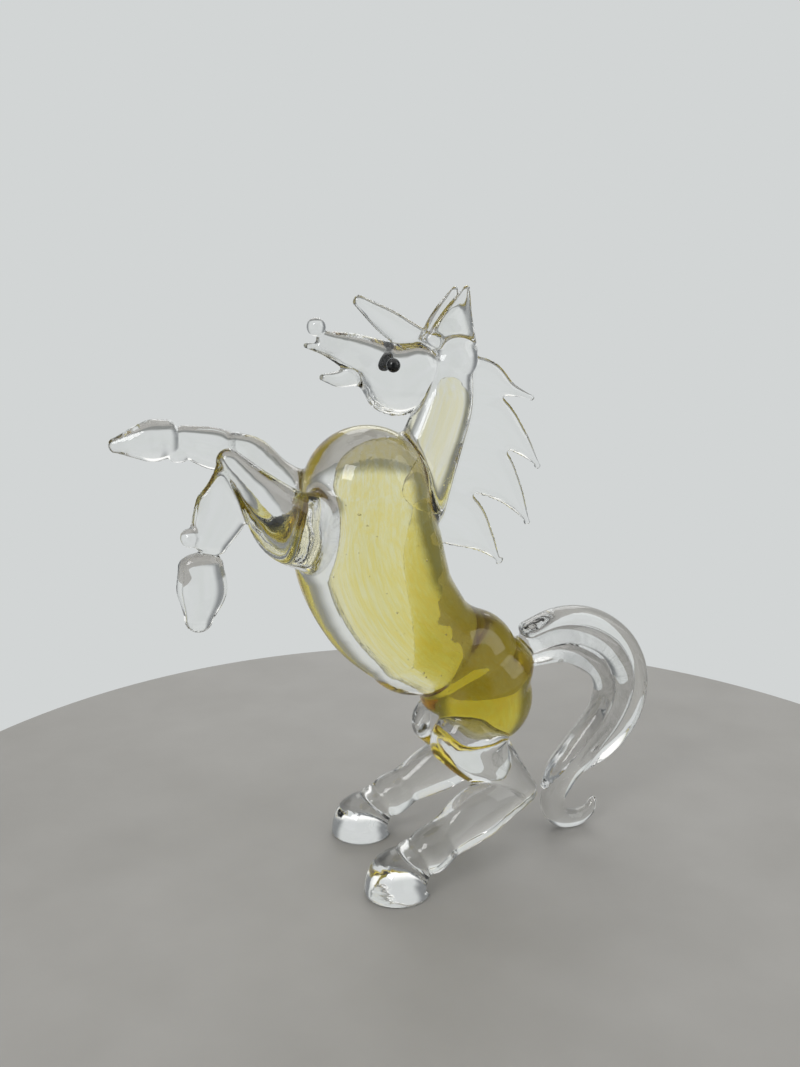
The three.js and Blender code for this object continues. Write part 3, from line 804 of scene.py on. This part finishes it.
def tableMaterial():
    # matt painted board with a faint mottle
    material, tree = newMaterial("pale painted board")
    place = addNode(tree, "ShaderNodeTexCoord")
    mottle = addNode(tree, "ShaderNodeTexNoise", {"Vector": place.outputs["Object"],
                     "Scale": 1 / (table["mottle"] * mm), "Detail": 6.0})
    tone = addNode(tree, "ShaderNodeValToRGB", {"Fac": mottle.outputs["Fac"]})
    tone.color_ramp.elements[0].color = toLinear(table["colour"][0])
    tone.color_ramp.elements[1].color = toLinear(table["colour"][1])
    shader = addNode(tree, "ShaderNodeBsdfPrincipled", {
        "Base Color": tone.outputs["Color"], "Roughness": 0.6})
    addNode(tree, "ShaderNodeOutputMaterial", {"Surface": shader.outputs["BSDF"]})
    return material


# a round table top, which isn't part of the figurine
table = dict(radius=150, thickness=12, drop=0.05, middle=(10, 0), colour=("#85837F", "#959390"), mottle=25)
bm = bmesh.new()
bmesh.ops.create_cone(bm, cap_ends=True, segments=160, radius1=table["radius"] * mm,
                      radius2=table["radius"] * mm, depth=table["thickness"] * mm)
for v in bm.verts:
    v.co += Vector(standPoint) + Vector((*table["middle"], -table["thickness"] / 2 - table["drop"])) * mm
me = bpy.data.meshes.new("table")
bm.to_mesh(me)
bm.free()
me.materials.append(tableMaterial())
floor = bpy.data.objects.new("table", me)
bpy.context.scene.collection.objects.link(floor)

# the camera looks 12 degrees down, from the figurine's left side and 18.5 degrees towards its front
view = dict(place=(-69.8, -202.7, 122.5), down=12, turn=18.5, lens=33.74)
wall = dict(pale="#D2D5D5", gap="#7E8183", under="#7E807E", sky="#F6F6F4", skyStrength=1.25)


def makeWall():
    # three wide pale panels with greyer gaps between them and a bright ceiling, so that the rims of clear
    # glass show; it is grey again far below
    world = bpy.data.worlds.new("soft studio")
    world.use_nodes = True
    tree = world.node_tree
    tree.nodes.clear()
    place = addNode(tree, "ShaderNodeTexCoord")
    part = addNode(tree, "ShaderNodeSeparateXYZ", {"Vector": place.outputs["Generated"]})
    turn = addNode(tree, "ShaderNodeMath", {0: part.outputs["X"], 1: part.outputs["Y"]}, operation="ARCTAN2")
    panels = addNode(tree, "ShaderNodeMath", {0: turn.outputs[0], 1: 3.0, 2: -3 * math.radians(view["turn"])},
                     operation="MULTIPLY_ADD")
    swing = addNode(tree, "ShaderNodeMath", {0: panels.outputs[0]}, operation="COSINE")
    colour = None
    for value, start, end, tone, strength in ((swing.outputs[0], 0.2, -0.7, wall["gap"], 1),
                                              (part.outputs["Z"], 0.6, 0.8, wall["sky"], wall["skyStrength"]),
                                              (part.outputs["Z"], -0.4, -0.5, wall["under"], 1)):
        share = addNode(tree, "ShaderNodeMapRange", {"Value": value, "From Min": start, "From Max": end},
                        interpolation_type="SMOOTHSTEP")
        tone = tuple(c * strength for c in toLinear(tone))
        mix = addNode(tree, "ShaderNodeMix", {0: share.outputs["Result"], 6: colour or toLinear(wall["pale"]),
                                              7: tone}, data_type="RGBA")
        colour = mix.outputs[2]
    light = addNode(tree, "ShaderNodeBackground", {"Color": colour, "Strength": 1.0})
    addNode(tree, "ShaderNodeOutputWorld", {"Surface": light.outputs["Background"]})
    bpy.context.scene.world = world


makeWall()

# soft boxes, which light the glass and show on it but not through it, all aimed at the figurine's middle
lamps = {
    "window lamp": dict(place=(-560, -420, 560), size=(300, 380), power=2.4),
    "fill lamp": dict(place=(620, -340, 460), size=(500, 600), power=1.2),
    "back lamp": dict(place=(300, 700, 620), size=(700, 500), power=2.0),
}
lampAim = Vector((0, 0, 60)) * mm + Vector(standPoint)
for name, box in lamps.items():
    lamp = bpy.data.lights.new(name, "AREA")
    lamp.shape = "RECTANGLE"
    lamp.size = box["size"][0] * mm
    lamp.size_y = box["size"][1] * mm
    lamp.energy = box["power"]
    obj = bpy.data.objects.new(name, lamp)
    obj.location = Vector(box["place"]) * mm + Vector(standPoint)
    obj.rotation_euler = (lampAim - obj.location).to_track_quat("-Z", "Y").to_euler()
    obj.visible_transmission = False
    bpy.context.scene.collection.objects.link(obj)

cam = bpy.data.cameras.new("camera")
cam.sensor_width = 36
cam.lens = view["lens"]
cam.clip_start = 0.01
camera = bpy.data.objects.new("camera", cam)
camera.location = Vector(view["place"]) * mm + Vector(standPoint)
camera.rotation_euler = (math.radians(90 - view["down"]), 0, math.radians(-view["turn"]))
bpy.context.scene.collection.objects.link(camera)
bpy.context.scene.camera = camera

# light goes through many layers of glass before it comes out
cycles = bpy.context.scene.cycles
cycles.max_bounces = 40
cycles.transmission_bounces = 40
cycles.glossy_bounces = 8
cycles.transparent_max_bounces = 16
bpy.context.scene.view_settings.view_transform = "Standard"
print("stage, lamps and camera set")
